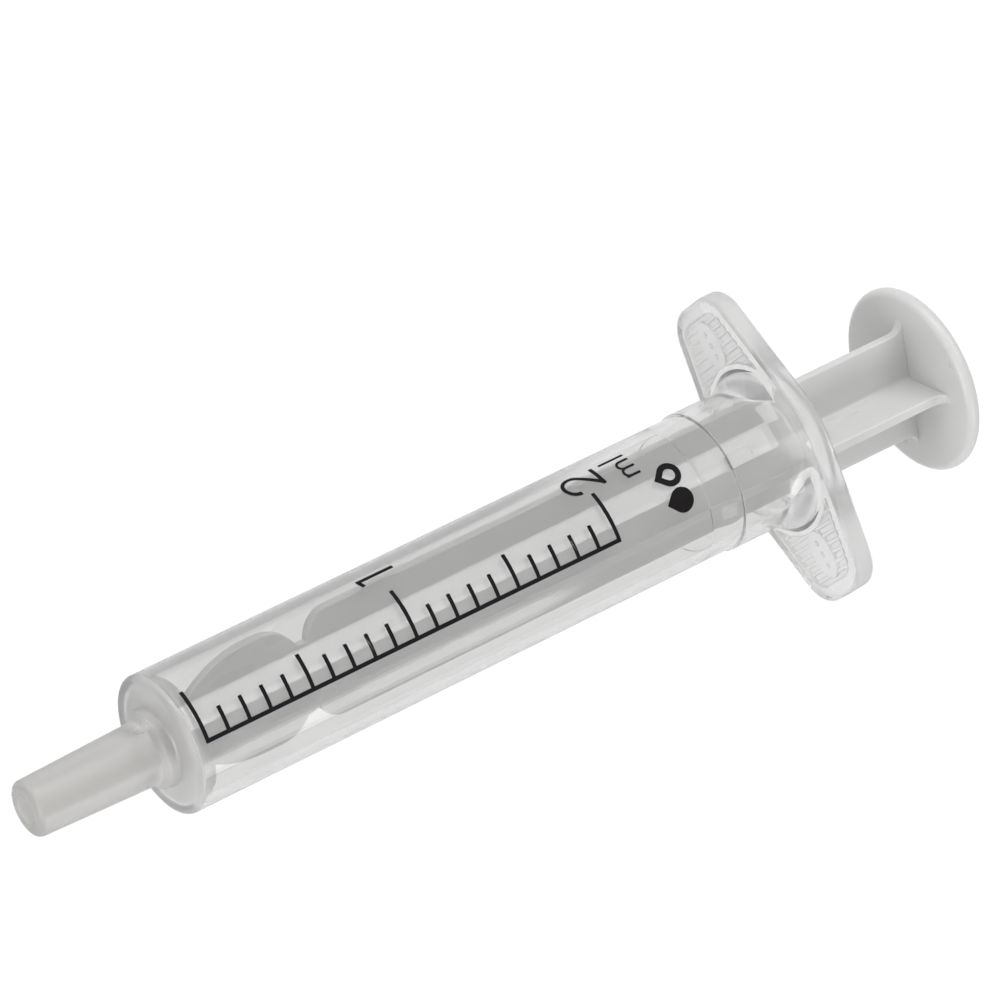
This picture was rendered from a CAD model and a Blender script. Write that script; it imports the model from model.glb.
from math import atan2, cos, hypot, pi, radians, sin, sqrt

import bpy
from bpy.props import FloatProperty, FloatVectorProperty, PointerProperty
from mathutils import Matrix, Vector


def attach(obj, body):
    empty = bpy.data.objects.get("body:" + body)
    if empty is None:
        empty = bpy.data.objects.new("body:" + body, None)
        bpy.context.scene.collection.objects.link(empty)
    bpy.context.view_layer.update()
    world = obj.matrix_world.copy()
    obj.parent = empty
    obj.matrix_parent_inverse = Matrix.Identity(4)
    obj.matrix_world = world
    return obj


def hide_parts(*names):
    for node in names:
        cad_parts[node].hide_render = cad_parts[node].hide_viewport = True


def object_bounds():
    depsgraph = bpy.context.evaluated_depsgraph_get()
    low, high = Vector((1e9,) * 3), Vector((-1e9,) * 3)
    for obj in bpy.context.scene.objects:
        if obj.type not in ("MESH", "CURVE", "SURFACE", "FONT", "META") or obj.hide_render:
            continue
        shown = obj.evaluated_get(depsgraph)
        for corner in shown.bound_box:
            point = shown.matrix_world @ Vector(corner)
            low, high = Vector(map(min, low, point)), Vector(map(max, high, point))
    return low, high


bl_info = {
    "name": "Oral Syringe",
    "version": (1, 0, 0),
    "blender": (4, 5, 0),
    "location": "View3D > Sidebar > Syringe",
    "description": "Moulds a clear syringe barrel and its white plunger, prints the scale and sets the stage",
    "category": "Object",
}

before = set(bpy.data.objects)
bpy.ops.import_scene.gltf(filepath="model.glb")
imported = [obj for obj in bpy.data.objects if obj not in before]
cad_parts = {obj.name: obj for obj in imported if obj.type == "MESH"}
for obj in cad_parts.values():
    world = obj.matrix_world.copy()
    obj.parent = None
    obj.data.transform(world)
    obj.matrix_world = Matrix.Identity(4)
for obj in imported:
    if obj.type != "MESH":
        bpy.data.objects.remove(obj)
cad_low, cad_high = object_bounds()

# Pieces are shaped in millimetres and brought to metres when they are finished.
MM = 0.001
# Points nearer than this are one point.
FINE = 1e-4
# Refractive index of the clear plastic.
CLEAR_IOR = 1.49
# Light that the floor gives: to the camera, to the part, and where it is dimmed.
FLOOR_SEEN, FLOOR_LIGHT, FLOOR_DIM = 1.06, 0.82, 0.42


# ---------------------------------------------------------------- workbench


def put_down_everything():
    """Leave edit mode and deselect every object."""
    if bpy.context.object and bpy.context.object.mode != "OBJECT":
        bpy.ops.object.mode_set(mode="OBJECT")
    bpy.ops.object.select_all(action="DESELECT")


def pick_up(piece):
    """Make this the one selected and active object."""
    put_down_everything()
    piece.select_set(True)
    bpy.context.view_layer.objects.active = piece


def start_editing(kind="FACE"):
    bpy.ops.object.mode_set(mode="EDIT")
    bpy.ops.mesh.select_mode(type=kind)


def stop_editing():
    bpy.ops.object.mode_set(mode="OBJECT")


def settle():
    """Put the place, turn and size of the picked object into its mesh."""
    bpy.ops.object.transform_apply(location=True, rotation=True, scale=True)


def face_outwards(piece):
    """Merge doubles and point every face of a closed piece outwards."""
    pick_up(piece)
    start_editing()
    bpy.ops.mesh.select_all(action="SELECT")
    bpy.ops.mesh.remove_doubles(threshold=FINE)
    bpy.ops.mesh.normals_make_consistent(inside=False)
    stop_editing()


def turned(name, stations, sides=128):
    """Pull a disc along the axis through stations of (x, radius), like work on a lathe."""
    put_down_everything()
    x, radius = stations[0]
    bpy.ops.mesh.primitive_circle_add(
        vertices=sides, radius=radius, fill_type="NGON", location=(x, 0, 0), rotation=(0, pi / 2, 0)
    )
    piece = bpy.context.active_object
    piece.name = name
    settle()
    start_editing()
    bpy.ops.mesh.select_all(action="SELECT")
    for (x0, r0), (x1, r1) in zip(stations, stations[1:]):
        bpy.ops.mesh.extrude_region_move(TRANSFORM_OT_translate={"value": (x1 - x0, 0, 0)})
        bpy.ops.transform.resize(value=(1, r1 / r0, r1 / r0), center_override=(x1, 0, 0))
    stop_editing()
    face_outwards(piece)
    return piece


def drawn(name, points, depth):
    """Draw a closed outline point by point, fill it, and pull it along a vector. Stays in edit mode."""
    put_down_everything()
    bpy.ops.mesh.primitive_plane_add(size=1)
    piece = bpy.context.active_object
    piece.name = name
    start_editing("VERT")
    bpy.ops.mesh.select_all(action="SELECT")
    bpy.ops.mesh.merge(type="CENTER")
    bpy.ops.transform.translate(value=points[0])
    for here, there in zip(points, points[1:]):
        step = [b - a for a, b in zip(here, there)]
        bpy.ops.mesh.extrude_region_move(TRANSFORM_OT_translate={"value": step})
    bpy.ops.mesh.select_all(action="SELECT")
    bpy.ops.mesh.edge_face_add()
    bpy.ops.mesh.select_mode(type="FACE")
    bpy.ops.mesh.select_all(action="SELECT")
    bpy.ops.mesh.extrude_region_move(TRANSFORM_OT_translate={"value": depth})
    return piece


def plate(name, outline, thickness, rim=0.0):
    """A flat plate from an outline of (x, z) points, with thickness along Y and a rounded rim."""
    piece = drawn(name, [(x, -thickness / 2, z) for x, z in outline], (0, thickness, 0))
    if rim:
        bpy.ops.mesh.select_mode(type="EDGE")
        bpy.ops.mesh.select_all(action="DESELECT")
        stop_editing()
        for edge in piece.data.edges:
            a, b = (piece.data.vertices[i].co for i in edge.vertices)
            edge.select = abs(a.y - b.y) < FINE
        start_editing("EDGE")
        bpy.ops.mesh.bevel(offset=rim, segments=3, affect="EDGES", clamp_overlap=True)
    stop_editing()
    face_outwards(piece)
    return piece


def gather(pieces, name):
    """Join several objects into the first one."""
    put_down_everything()
    for piece in pieces:
        piece.select_set(True)
    bpy.context.view_layer.objects.active = pieces[0]
    bpy.ops.object.join()
    pieces[0].name = name
    return pieces[0]


def combine(piece, tool, how):
    """Weld a tool shape on (UNION), cut it away (DIFFERENCE) or keep what is shared (INTERSECT)."""
    pick_up(piece)
    cut = piece.modifiers.new("Combine", "BOOLEAN")
    cut.operation = how
    cut.solver = "EXACT"
    cut.object = tool
    bpy.ops.object.modifier_apply(modifier=cut.name)
    bpy.data.objects.remove(tool)
    if not piece.data.polygons:
        raise RuntimeError(f"{piece.name} vanished in {how}")
    return piece


def soften(piece, width, angle=50, segments=3):
    """Round every edge sharper than an angle, in degrees."""
    pick_up(piece)
    bevel = piece.modifiers.new("Soften", "BEVEL")
    bevel.width = width
    bevel.segments = segments
    bevel.limit_method = "ANGLE"
    bevel.angle_limit = radians(angle)
    bpy.ops.object.modifier_apply(modifier=bevel.name)


def finished(piece, body, node, sharp=32):
    """Bring a shaped piece to metres, smooth its shading and put it on its body."""
    pick_up(piece)
    piece.scale = (MM, MM, MM)
    settle()
    bpy.ops.object.shade_smooth_by_angle(angle=radians(sharp))
    even = piece.modifiers.new("Even shading", "WEIGHTED_NORMAL")
    even.keep_sharp = True
    even.weight = 80
    bpy.ops.object.modifier_apply(modifier=even.name)
    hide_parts(node)
    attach(piece, body)
    return piece


def bend(centre, radius, start, end, steps):
    """Points on an arc from one angle to another, in degrees, as (x, r)."""
    made = []
    for i in range(steps + 1):
        a = radians(start + (end - start) * i / steps)
        made.append((centre[0] + radius * cos(a), centre[1] + radius * sin(a)))
    return made


# ------------------------------------------------------------------- sizes


class BarrelSizes(bpy.types.PropertyGroup):
    """Sizes of the clear barrel, in millimetres."""

    outer: FloatProperty(
        name="Outer radius", description="Radius of the barrel's outside", default=5.0, min=4.9, max=5.1
    )
    bore: FloatProperty(
        name="Bore radius", description="Radius the seal runs in", default=4.35, min=4.3, max=4.4
    )
    sleeve: FloatProperty(
        name="Sleeve radius", description="Radius of the thick rear end of the barrel", default=5.15, min=5.1, max=5.3
    )
    shoulder: FloatProperty(
        name="Shoulder", description="Distance from the nozzle's mouth to the barrel's front face", default=10.25
    )
    front_round: FloatProperty(
        name="Front rounding", description="Rounding of the barrel's front edge", default=0.5
    )
    tip: FloatProperty(name="Tip radius", description="Radius of the nozzle at its mouth", default=2.0)
    taper: FloatProperty(
        name="Taper", description="Growth of the nozzle's radius for each millimetre", default=0.03
    )
    channel: FloatProperty(
        name="Channel radius", description="Radius of the way through the nozzle", default=1.0
    )
    flange: FloatProperty(
        name="Flange front", description="Distance from the mouth to the finger flange", default=61.25
    )
    flange_thick: FloatProperty(
        name="Flange thickness", description="Thickness of the finger flange", default=1.55
    )
    half_width: FloatProperty(
        name="Flange half width", description="Half the flange's width at the barrel", default=6.5
    )
    ear_reach: FloatProperty(
        name="Ear reach", description="Distance from the axis to the end of an ear", default=11.5
    )
    ear_half: FloatProperty(
        name="Ear half width", description="Half the width of an ear's blunt end", default=3.95
    )
    ear_round: FloatProperty(name="Ear rounding", description="Corner radius of the ears", default=2.65)
    border: FloatProperty(name="Panel border", description="Plain border round the ribbed panel", default=1.1)
    panel: FloatProperty(name="Panel depth", description="Depth of the ribbed panel", default=0.35)
    rib_pitch: FloatProperty(name="Rib pitch", description="Spacing of the ribs on the ears", default=0.65)
    pad_place: FloatProperty(
        name="Pad place", description="Distance from the axis to an ear's smooth pad", default=8.25
    )
    rib_height: FloatProperty(
        name="Rib height", description="Height of the ribs and pads above the panel", default=0.17
    )


class PlungerSizes(bpy.types.PropertyGroup):
    """Sizes of the white plunger, in millimetres."""

    front: FloatProperty(
        name="Seal front", description="Distance from the nozzle's mouth to the seal", default=10.98
    )
    seal: FloatProperty(name="Seal radius", description="Radius of the seal's lip", default=4.33)
    seal_thick: FloatProperty(name="Seal thickness", description="Thickness of the seal disc", default=1.05)
    reach: FloatProperty(name="Rib reach", description="Distance from the axis to a rib's edge", default=4.05)
    rib: FloatProperty(name="Rib thickness", description="Thickness of the four ribs", default=0.7)
    turn: FloatProperty(name="Rib turn", description="Turn of the first rib from the top", default=35.3)
    waist: FloatProperty(
        name="Waist radius", description="Reach of the ribs where they are notched", default=2.4
    )
    fillet: FloatProperty(name="Root fillet", description="Fillet where the ribs meet", default=0.4)
    thumb: FloatProperty(name="Thumb rest radius", description="Radius of the thumb rest", default=6.9)
    thumb_front: FloatProperty(
        name="Thumb rest place", description="Distance from the mouth to the thumb rest", default=74.05
    )
    thumb_thick: FloatProperty(
        name="Thumb rest thickness", description="Thickness of the thumb rest", default=1.1
    )
    rim: FloatProperty(name="Rim rounding", description="Rounding of the thumb rest's edge", default=0.5)


class Finishes(bpy.types.PropertyGroup):
    """Colours of the plastics, the ink and the stage."""

    clear: FloatVectorProperty(
        name="Clear plastic", description="Tint of the barrel", subtype="COLOR", size=3, default=(0.985, 0.983, 0.980)
    )
    milky: FloatVectorProperty(
        name="White plastic", description="Colour of the plunger", subtype="COLOR", size=3, default=(0.62, 0.618, 0.615)
    )
    ink: FloatVectorProperty(
        name="Ink", description="Colour of the print", subtype="COLOR", size=3, default=(0.004, 0.0035, 0.004)
    )
    floor: FloatVectorProperty(
        name="Floor", description="Colour of the floor", subtype="COLOR", size=3, default=(0.95, 0.95, 0.95)
    )


# --------------------------------------------------------------- materials


def link(tree, a, out, b, into):
    tree.links.new(a.outputs[out], b.inputs[into])


def moulded_surface():
    """Group: faint flow and polish of a moulding. Gives a height and a soft mottle from 0 to 1."""
    made = bpy.data.node_groups.get("Moulded surface")
    if made:
        return made
    made = bpy.data.node_groups.new("Moulded surface", "ShaderNodeTree")
    made.interface.new_socket("Grain", in_out="INPUT", socket_type="NodeSocketFloat").default_value = 900.0
    made.interface.new_socket("Flow", in_out="INPUT", socket_type="NodeSocketFloat").default_value = 160.0
    made.interface.new_socket("Mottle", in_out="OUTPUT", socket_type="NodeSocketFloat")
    made.interface.new_socket("Height", in_out="OUTPUT", socket_type="NodeSocketFloat")
    enter = made.nodes.new("NodeGroupInput")
    leave = made.nodes.new("NodeGroupOutput")
    place = made.nodes.new("ShaderNodeTexCoord")
    stretch = made.nodes.new("ShaderNodeMapping")
    stretch.inputs["Scale"].default_value = (0.25, 1.0, 1.0)
    flow = made.nodes.new("ShaderNodeTexNoise")
    flow.inputs["Detail"].default_value = 3.0
    flow.inputs["Roughness"].default_value = 0.55
    grain = made.nodes.new("ShaderNodeTexNoise")
    grain.inputs["Detail"].default_value = 4.0
    grain.inputs["Roughness"].default_value = 0.6
    less = made.nodes.new("ShaderNodeMath")
    less.operation = "MULTIPLY"
    less.inputs[1].default_value = 0.3
    both = made.nodes.new("ShaderNodeMath")
    both.operation = "ADD"
    link(made, place, "Object", stretch, "Vector")
    link(made, stretch, "Vector", flow, "Vector")
    link(made, place, "Object", grain, "Vector")
    link(made, enter, "Flow", flow, "Scale")
    link(made, enter, "Grain", grain, "Scale")
    link(made, flow, "Fac", leave, "Mottle")
    link(made, grain, "Fac", less, 0)
    link(made, less, 0, both, 0)
    link(made, flow, "Fac", both, 1)
    link(made, both, 0, leave, "Height")
    return made


def new_material(name):
    made = bpy.data.materials.new(name)
    made.use_nodes = True
    shader = made.node_tree.nodes["Principled BSDF"]
    return made, made.node_tree, shader


def add_surface(tree, shader, low, high, strength, distance, grain=900.0, flow=160.0):
    """Lay the moulded surface on a shader: roughness from low to high, and a fine bump."""
    skin = tree.nodes.new("ShaderNodeGroup")
    skin.node_tree = moulded_surface()
    skin.inputs["Grain"].default_value = grain
    skin.inputs["Flow"].default_value = flow
    gloss = tree.nodes.new("ShaderNodeMapRange")
    gloss.inputs["From Min"].default_value = 0.3
    gloss.inputs["From Max"].default_value = 0.7
    gloss.inputs["To Min"].default_value = low
    gloss.inputs["To Max"].default_value = high
    bump = tree.nodes.new("ShaderNodeBump")
    bump.inputs["Strength"].default_value = strength
    bump.inputs["Distance"].default_value = distance
    link(tree, skin, "Mottle", gloss, "Value")
    link(tree, gloss, "Result", shader, "Roughness")
    link(tree, skin, "Height", bump, "Height")
    link(tree, bump, "Normal", shader, "Normal")
    return skin


def see_through(name, colour, transmission):
    """A clear plastic of a colour that lets this much of the light through."""
    made, tree, shader = new_material(name)
    shader.inputs["Base Color"].default_value = (*colour, 1)
    shader.inputs["IOR"].default_value = CLEAR_IOR
    shader.inputs["Transmission Weight"].default_value = transmission
    return made, tree, shader


def clear_plastic(colours):
    made, tree, shader = see_through("Clear plastic", colours.clear, 0.9)
    add_surface(tree, shader, 0.03, 0.05, 0.008, 0.00001, flow=90.0)
    return made


def frosted_plastic(colours):
    made, tree, shader = see_through("Frosted plastic", [0.985 * c for c in colours.clear], 0.72)
    add_surface(tree, shader, 0.32, 0.44, 0.03, 0.00001, flow=260.0)
    return made


def cloudy_plastic(colours):
    tint = (0.79, 0.783, 0.77)
    colour = [t * c for t, c in zip(tint, colours.clear)]
    made, tree, shader = see_through("Cloudy plastic", colour, 0.68)
    add_surface(tree, shader, 0.24, 0.38, 0.08, 0.00002, flow=220.0)
    return made


def white_plastic(colours):
    made, tree, shader = new_material("White plastic")
    shader.inputs["Base Color"].default_value = (*colours.milky, 1)
    shader.inputs["IOR"].default_value = 1.5
    shader.inputs["Subsurface Weight"].default_value = 0.35
    shader.inputs["Subsurface Radius"].default_value = (1.0, 1.0, 0.95)
    shader.inputs["Subsurface Scale"].default_value = 0.0012
    add_surface(tree, shader, 0.24, 0.38, 0.25, 0.00003, flow=140.0)
    return made


def printing_ink(colours):
    made, tree, shader = new_material("Printing ink")
    shader.inputs["IOR"].default_value = 1.5
    shader.inputs["Specular IOR Level"].default_value = 0.12
    skin = add_surface(tree, shader, 0.55, 0.75, 0.3, 0.00002, grain=4200.0, flow=2600.0)
    tone = tree.nodes.new("ShaderNodeMix")
    tone.data_type = "RGBA"
    tone.inputs["A"].default_value = (*colours.ink, 1)
    tone.inputs["B"].default_value = (*(3.2 * c for c in colours.ink), 1)
    link(tree, skin, "Mottle", tone, "Factor")
    tree.links.new(tone.outputs["Result"], shader.inputs["Base Color"])
    return made


# ------------------------------------------------------------------ barrel


def barrel_outside(size):
    """The outside as turned work: nozzle, collar, rounded front, barrel, thick sleeve and cone."""
    lip = 0.45
    root = size.shoulder - 1.0
    cone_end = size.tip + size.taper * root
    line = bend((lip, size.tip + size.taper * lip - lip), lip, 180, 90, 8)
    line += [(root * k, size.tip + size.taper * root * k) for k in (0.2, 0.4, 0.6, 0.8)]
    line += bend((root - 0.12, cone_end + 0.15), 0.15, -90, -40, 4)
    line += [(root + 0.12, cone_end + 0.26), (root + 0.2, cone_end + 0.38)]
    line += bend((root + 0.42, 2.8 - 0.2), 0.2, 150, 90, 5)
    line += bend((size.shoulder - 0.2, 3.0), 0.2, -90, 0, 6)
    line += [(size.shoulder, 3.6), (size.shoulder, 4.1)]
    line += bend((size.shoulder + size.front_round, size.outer - size.front_round), size.front_round, 180, 90, 10)
    sleeve = size.flange - 5.9
    line += [(sleeve * k, size.outer) for k in (0.25, 0.4, 0.55, 0.7, 0.85)]
    line += bend((sleeve, size.outer + 0.05), 0.05, -90, -20, 4)
    line += bend((sleeve + 0.13, size.sleeve - 0.06), 0.06, 160, 90, 4)
    cone, grow = 1.9, 1.0
    for i in range(13):
        line.append((size.flange - cone + cone * i / 12, size.sleeve + grow * (i / 12) ** 1.8))
    line.append((size.flange + size.flange_thick - 0.2, size.sleeve + grow))
    return turned("barrel_clear", line)


def barrel_inside(size):
    """The space inside: channel, bore, the low ring that stops the seal, and the flared mouth."""
    end = size.flange + size.flange_thick
    floor_x = size.shoulder + 0.7
    stop = size.flange - 8.3
    line = [(-1, size.channel + 0.15), (0, size.channel + 0.15)]
    line += bend((0.15, size.channel + 0.15), 0.15, 180, 270, 5)
    line += [(floor_x - 0.1, size.channel)] + bend((floor_x - 0.1, size.channel + 0.1), 0.1, -90, 0, 4)[1:]
    line += [(floor_x, size.bore - 0.15)] + bend((floor_x + 0.15, size.bore - 0.15), 0.15, 180, 90, 5)[1:]
    line += [(floor_x + 10, size.bore), (floor_x + 20, size.bore), (floor_x + 30, size.bore), (stop, size.bore)]
    line.append((stop + 0.06, size.bore - 0.05))
    for i in range(1, 9):
        a = radians(180 * i / 8)
        line.append((stop + 0.06 + 2.34 * i / 8, size.bore - 0.025 * (1 + cos(a)) - 0.03 * sin(a)))
    line.append((end - 1.1, size.bore))
    for i in range(1, 9):
        a = radians(90 * i / 8)
        line.append((end - 1.1 + 1.1 * sin(a), size.bore + 0.55 * (1 - cos(a))))
    line.append((end + 1, size.bore + 0.55))
    return turned("barrel_space", line)


def ear_block(size, front, rear, inset, name):
    """A middle disc and four corner discs with a skin pulled tight round them."""
    parts = []
    across, up = size.ear_reach - size.ear_round, size.ear_half - size.ear_round
    places = [(0, 0, size.half_width - inset, 160)]
    places += [(sy * across, sz * up, size.ear_round - inset, 64) for sy in (-1, 1) for sz in (-1, 1)]
    for y, z, radius, sides in places:
        put_down_everything()
        bpy.ops.mesh.primitive_cylinder_add(
            vertices=sides, radius=radius, depth=rear - front,
            location=((front + rear) / 2, y, z), rotation=(0, pi / 2, 0),
        )
        parts.append(bpy.context.active_object)
    block = gather(parts, name)
    settle()
    start_editing("VERT")
    bpy.ops.mesh.select_all(action="SELECT")
    bpy.ops.mesh.convex_hull()
    bpy.ops.mesh.select_all(action="SELECT")
    bpy.ops.mesh.dissolve_limited(angle_limit=radians(0.6))
    stop_editing()
    face_outwards(block)
    return block


def panel_relief(size, floor_x):
    """Fine ribs across both ears, a smooth oval pad in each and three dots on the pad."""
    bars = []
    y = size.half_width - 0.6
    while y < size.ear_reach:
        for side in (-1, 1):
            put_down_everything()
            bpy.ops.mesh.primitive_cube_add(size=1, location=(floor_x, side * y, 0))
            bar = bpy.context.active_object
            bar.scale = (2 * size.rib_height, 0.28, 2 * size.half_width)
            settle()
            start_editing("EDGE")
            bpy.ops.mesh.select_all(action="SELECT")
            bpy.ops.mesh.bevel(offset=0.1, segments=3, affect="EDGES")
            stop_editing()
            bars.append(bar)
        y += size.rib_pitch
    ribs = gather(bars, "ear_ribs")
    # cut the ribs to the panel, a little into its wall so that they weld to it
    room = ear_block(size, floor_x - 1, floor_x + 0.15, size.border - 0.08, "ear_room")
    combine(ribs, room, "INTERSECT")
    core = turned("ear_core", [(floor_x - 2, size.half_width - 0.1), (floor_x + 2, size.half_width - 0.1)])
    combine(ribs, core, "DIFFERENCE")
    for side in (-1, 1):
        middle = side * size.pad_place
        put_down_everything()
        bpy.ops.mesh.primitive_cylinder_add(vertices=64, radius=1, depth=1, rotation=(0, pi / 2, 0))
        pad = bpy.context.active_object
        settle()
        pad.scale = (2 * size.rib_height + 0.12, 1.85, 1.35)
        pad.location = (floor_x, middle, 0)
        settle()
        soften(pad, 0.1)
        combine(ribs, pad, "UNION")
        for step in (-0.85, 0, 0.85):
            put_down_everything()
            bpy.ops.mesh.primitive_uv_sphere_add(segments=24, ring_count=12, radius=0.22)
            dot = bpy.context.active_object
            dot.location = (floor_x - size.rib_height - 0.06, middle + step, 0)
            dot.scale = (0.5, 1, 1)
            settle()
            combine(ribs, dot, "UNION")
    return ribs


def finger_flange(size):
    """The flange: rounded block, a sunk panel in each ear and the relief on its floor."""
    front, rear = size.flange, size.flange + size.flange_thick
    block = ear_block(size, front, rear, 0, "finger_flange")
    soften(block, 0.32, angle=60, segments=5)
    floor_x = front + size.panel
    sunk = ear_block(size, front - 1, floor_x, size.border, "ear_panel")
    middle = turned("panel_middle", [(front - 2, size.half_width), (front + 2, size.half_width)], sides=160)
    combine(sunk, middle, "DIFFERENCE")
    combine(block, sunk, "DIFFERENCE")
    return combine(block, panel_relief(size, floor_x), "UNION")


def sleeve_pip(size):
    """A low round-ended pip on top of the thick sleeve."""
    start, length, half = size.flange - 5.9, 1.9, 0.55
    outline = [(start, -half), (start + length - half, -half)]
    outline += bend((start + length - half, 0), half, -75, 75, 10)
    outline += [(start + length - half, half), (start, half)]
    pip = plate("sleeve_pip", outline, 0.8)
    # stand the plate up: its thickness points up from the top of the sleeve
    pip.rotation_euler = (-pi / 2, 0, 0)
    pip.location = (0, 0, size.sleeve + 0.25 - 0.4)
    pick_up(pip)
    settle()
    soften(pip, 0.08)
    return pip


def frost_ends(piece, size, colours):
    """Clear along the barrel, frosted on its front edge, pip and ears, cloudy on the nozzle."""
    piece.data.materials.clear()
    for finish in (clear_plastic, frosted_plastic, cloudy_plastic):
        piece.data.materials.append(finish(colours))
    for face in piece.data.polygons:
        x, y, z = face.center
        around = hypot(y, z)
        outside = around > size.channel + 0.3
        nozzle = x < size.shoulder - 0.02
        front = x < size.shoulder + size.front_round and outside
        ears = x > size.flange - 0.01 and around > size.half_width - 0.4
        pip = size.sleeve + 0.02 < z and abs(y) < 0.6 and size.flange - 6 < x < size.flange - 3.9
        face.material_index = 2 if nozzle else 1 if front or ears or pip else 0


class SYRINGE_OT_barrel(bpy.types.Operator):
    """Mould the clear barrel with its nozzle and finger flange"""

    bl_idname = "syringe.barrel"
    bl_label = "Mould the barrel"

    def execute(self, context):
        size, colours = context.scene.syringe_barrel, context.scene.syringe_finishes
        barrel = barrel_outside(size)
        combine(barrel, finger_flange(size), "UNION")
        combine(barrel, sleeve_pip(size), "UNION")
        combine(barrel, barrel_inside(size), "DIFFERENCE")
        face_outwards(barrel)
        frost_ends(barrel, size, colours)
        finished(barrel, "barrel", "barrel")
        return {"FINISHED"}


# ----------------------------------------------------------------- plunger


def rib_edge(size):
    """One edge of a rib from seal to thumb rest: waist, first lobe, notch, long rib and flare."""
    start, top = size.front + 0.5, size.reach + 0.08
    lobe, flat, long_x = size.front + 6.9, 1.2, size.front + 13.4
    front_r, rear_r, corner, flare = 8.2, 2.9, 1.9, 0.9
    line = [(start, size.waist)]
    low = top - front_r
    first = atan2(size.waist - low, -sqrt(front_r**2 - (size.waist - low) ** 2))
    line += bend((lobe, low), front_r, first * 180 / pi, 90, 16)
    low = top - rear_r
    last = atan2(size.waist - low, sqrt(rear_r**2 - (size.waist - low) ** 2))
    line += bend((lobe + flat, low), rear_r, 90, last * 180 / pi, 12)
    low = size.reach - corner
    first = atan2(size.waist - low, -sqrt(corner**2 - (size.waist - low) ** 2))
    line += bend((long_x, low), corner, first * 180 / pi, 90, 12)
    end = size.thumb_front
    line += [(long_x + (end - flare - long_x) * k, size.reach) for k in (0.25, 0.5, 0.75)]
    line += bend((end - flare, size.reach + flare), flare, -90, -6, 8)
    line.append((end + 0.3, size.reach + flare))
    return line


def rib_plate(size, turn):
    """A flat rib right across the rod, turned about the axis."""
    edge = rib_edge(size)
    outline = edge + [(x, -z) for x, z in reversed(edge)]
    rib = plate("rib", outline, size.rib, rim=0.1)
    rib.rotation_euler = (radians(turn), 0, 0)
    pick_up(rib)
    settle()
    return rib


def root_fillet(size, turn):
    """A bar with a hollow face that rounds the corner between two ribs."""
    half, f = size.rib / 2, size.fillet
    outline = [(half - 0.1, half - 0.1), (half + f, half - 0.1)]
    outline += bend((half + f, half + f), f, 270, 180, 8)
    outline.append((half - 0.1, half + f))
    x0, x1 = size.front + 0.4, size.thumb_front + 0.3
    bar = drawn("root_fillet", [(x0, y, z) for y, z in outline], (x1 - x0, 0, 0))
    stop_editing()
    bar.rotation_euler = (radians(turn), 0, 0)
    pick_up(bar)
    settle()
    face_outwards(bar)
    return bar


def seal_disc(size):
    """The seal: a thin lip that leans on the bore, and a smaller disc behind it."""
    x, r = size.front, size.seal
    line = [(x, r - 0.9), (x, r - 0.3), (x + 0.02, r - 0.2)]
    line += bend((x + 0.25, r - 0.16), 0.16, 150, 90, 5)
    line += bend((x + 0.5, r - 0.1), 0.1, 90, 30, 4)
    line += [(x + 0.72, r - 0.2)]
    line += bend((x + size.seal_thick - 0.1, r - 0.35), 0.1, 90, 0, 5)
    line.append((x + size.seal_thick, r - 1.2))
    return turned("seal_disc", line)


def thumb_rest(size):
    """The thumb rest: a round-edged disc with a shallow dish in the middle of its rear."""
    x, r, t, k = size.thumb_front, size.thumb, size.thumb_thick, size.rim
    line = [(x, 1.0), (x, 3.0), (x, 5.0)]
    line += bend((x + k, r - k), k, 180, 90, 8)
    line += bend((x + t - k, r - k), k, 90, 0, 8)
    line += [(x + t, 4.5), (x + t, 2.4), (x + t, 1.45)]
    line += [(x + t - 0.05, 1.34), (x + t - 0.18, 1.22), (x + t - 0.25, 1.05), (x + t - 0.25, 0.5)]
    line += [(x + t - 0.22, 0.42), (x + t - 0.1, 0.36), (x + t - 0.06, 0.28)]
    return turned("thumb_rest", line)


class SYRINGE_OT_plunger(bpy.types.Operator):
    """Mould the white plunger with its seal, four ribs and thumb rest"""

    bl_idname = "syringe.plunger"
    bl_label = "Mould the plunger"

    def execute(self, context):
        size, colours = context.scene.syringe_plunger, context.scene.syringe_finishes
        # a rib lies in the plane through the axis at this turn from the top
        plunger = rib_plate(size, size.turn)
        combine(plunger, rib_plate(size, size.turn + 90), "UNION")
        for quarter in range(4):
            combine(plunger, root_fillet(size, size.turn + 90 * quarter), "UNION")
        combine(plunger, seal_disc(size), "UNION")
        combine(plunger, thumb_rest(size), "UNION")
        face_outwards(plunger)
        plunger.name = "plunger_white"
        plunger.data.materials.clear()
        plunger.data.materials.append(white_plastic(colours))
        finished(plunger, "plunger", "plunger")
        return {"FINISHED"}


# ------------------------------------------------------------------- print


class SYRINGE_OT_print(bpy.types.Operator):
    """Ink the scale, the numerals, the unit and the drops"""

    bl_idname = "syringe.print"
    bl_label = "Ink the print"

    def execute(self, context):
        ink = printing_ink(context.scene.syringe_finishes)
        for name in ("scale_marks", "numeral_1", "numeral_2", "unit_ml", "drop_mark"):
            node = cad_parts[name]
            node.data.materials.clear()
            node.data.materials.append(ink)
        return {"FINISHED"}


# ------------------------------------------------------------------- stage


def softbox(name, place, aim, width, height, power):
    """A large soft light that looks at a point, its width as near along the barrel as it can lie."""
    lamp = bpy.data.lights.new(name, "AREA")
    lamp.shape = "RECTANGLE"
    lamp.size, lamp.size_y = width, height
    lamp.energy = power
    holder = bpy.data.objects.new(name, lamp)
    bpy.context.scene.collection.objects.link(holder)
    back = (Vector(place) - Vector(aim)).normalized()
    along = (Vector((1, 0, 0)) - back * back.x).normalized()
    turn = Matrix((along, back.cross(along), back)).transposed()
    holder.matrix_world = Matrix.Translation(place) @ turn.to_4x4()
    return holder


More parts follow.
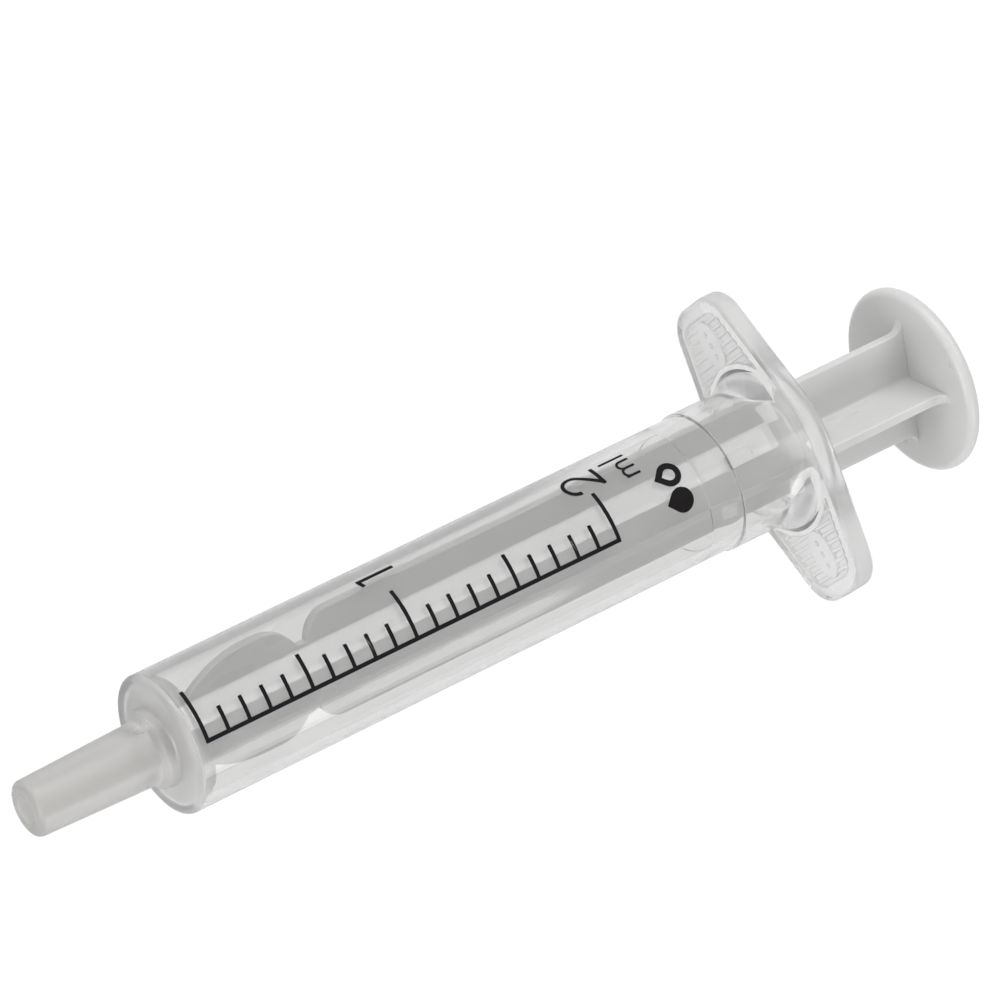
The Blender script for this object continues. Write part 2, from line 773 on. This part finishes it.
def ranged(tree, source, out, low, high, to_low, to_high):
    """Map an output from one range to another. A None end is left for a link."""
    made = tree.nodes.new("ShaderNodeMapRange")
    for name, value in (("From Min", low), ("From Max", high), ("To Min", to_low), ("To Max", to_high)):
        if value is not None:
            made.inputs[name].default_value = value
    link(tree, source, out, made, "Value")
    return made


def add_floor(colours):
    """A pale plane that gives light, just below the part."""
    put_down_everything()
    bpy.ops.mesh.primitive_plane_add(size=8, location=(0, 0, cad_low.z - 0.0002))
    floor = bpy.context.active_object
    floor.name = "floor"
    settle()
    made, tree, shader = new_material("Floor")
    shader.inputs["Base Color"].default_value = (0.02, 0.02, 0.02, 1)
    shader.inputs["Roughness"].default_value = 1.0
    shader.inputs["Specular IOR Level"].default_value = 0.0
    shader.inputs["Emission Color"].default_value = (*colours.floor, 1)
    path = tree.nodes.new("ShaderNodeLightPath")
    place = tree.nodes.new("ShaderNodeTexCoord")
    split = tree.nodes.new("ShaderNodeSeparateXYZ")
    link(tree, place, "Object", split, "Vector")
    # dimmer beyond the barrel's far side, up to the flange
    dim = ranged(tree, split, "X", 0.048, 0.056, FLOOR_DIM, FLOOR_LIGHT)
    fall = ranged(tree, split, "Y", 0.006, 0.012, FLOOR_LIGHT, None)
    link(tree, dim, "Result", fall, "To Max")
    # full white to the camera, less to what it lights
    glow = ranged(tree, path, "Is Camera Ray", 0.0, 1.0, None, FLOOR_SEEN)
    link(tree, fall, "Result", glow, "To Min")
    link(tree, glow, "Result", shader, "Emission Strength")
    floor.data.materials.append(made)


def add_camera():
    """The camera looks down steeply along the barrel from beyond the nozzle."""
    lens = bpy.data.cameras.new("Camera")
    lens.sensor_width = 36
    lens.lens = 205.97
    lens.clip_start, lens.clip_end = 0.01, 20
    camera = bpy.data.objects.new("Camera", lens)
    bpy.context.scene.collection.objects.link(camera)
    right = Vector((0.804405, -0.466878, 0.367365))
    up = Vector((0.38513, 0.880654, 0.275904))
    back = right.cross(up)
    turn = Matrix((right, up, back)).transposed()
    camera.matrix_world = Matrix.Translation((-0.135358, -0.026469, 0.346502)) @ turn.to_4x4()
    bpy.context.scene.camera = camera


class SYRINGE_OT_stage(bpy.types.Operator):
    """Lay the pale floor, hang the soft lights and place the camera"""

    bl_idname = "syringe.stage"
    bl_label = "Set the stage"

    def execute(self, context):
        add_floor(context.scene.syringe_finishes)
        world = bpy.data.worlds.new("Studio")
        world.use_nodes = True
        world.node_tree.nodes["Background"].inputs["Color"].default_value = (1, 1, 1, 1)
        world.node_tree.nodes["Background"].inputs["Strength"].default_value = 0.47
        context.scene.world = world
        softbox("Key box", (0.0, 0.5, 0.5), (0.035, 0, 0), 0.6, 0.4, 2.6)
        softbox("Streak box", (0.39, 0.175, 0.678), (0.035, 0, 0), 0.22, 0.54, 1.3)
        softbox("Low box", (0.1, -0.7, 0.2), (0.035, 0, 0), 0.6, 0.3, 1.6)
        softbox("Front box", (-0.62, -0.25, 0.2), (0.035, 0, 0), 0.3, 0.5, 2.2)
        context.scene.view_settings.view_transform = "Standard"
        add_camera()
        return {"FINISHED"}


class VIEW3D_PT_syringe(bpy.types.Panel):
    """Lists the sizes and the pieces"""

    bl_idname = "VIEW3D_PT_syringe"
    bl_label = "Syringe"
    bl_space_type = "VIEW_3D"
    bl_region_type = "UI"
    bl_category = "Syringe"

    def draw(self, context):
        for title, group in (
            ("Barrel", context.scene.syringe_barrel),
            ("Plunger", context.scene.syringe_plunger),
            ("Finishes", context.scene.syringe_finishes),
        ):
            box = self.layout.box()
            box.label(text=title)
            for name in group.__annotations__:
                box.prop(group, name)
        for step in STEPS:
            self.layout.operator(step.bl_idname)


STEPS = (SYRINGE_OT_barrel, SYRINGE_OT_plunger, SYRINGE_OT_print, SYRINGE_OT_stage)
CLASSES = (BarrelSizes, PlungerSizes, Finishes, *STEPS, VIEW3D_PT_syringe)


def register():
    for made in CLASSES:
        bpy.utils.register_class(made)
    bpy.types.Scene.syringe_barrel = PointerProperty(type=BarrelSizes)
    bpy.types.Scene.syringe_plunger = PointerProperty(type=PlungerSizes)
    bpy.types.Scene.syringe_finishes = PointerProperty(type=Finishes)


def unregister():
    del bpy.types.Scene.syringe_finishes
    del bpy.types.Scene.syringe_plunger
    del bpy.types.Scene.syringe_barrel
    for made in reversed(CLASSES):
        bpy.utils.unregister_class(made)


def main():
    register()
    bpy.ops.syringe.barrel()
    bpy.ops.syringe.plunger()
    bpy.ops.syringe.print()
    bpy.ops.syringe.stage()


if __name__ == "__main__":
    main()
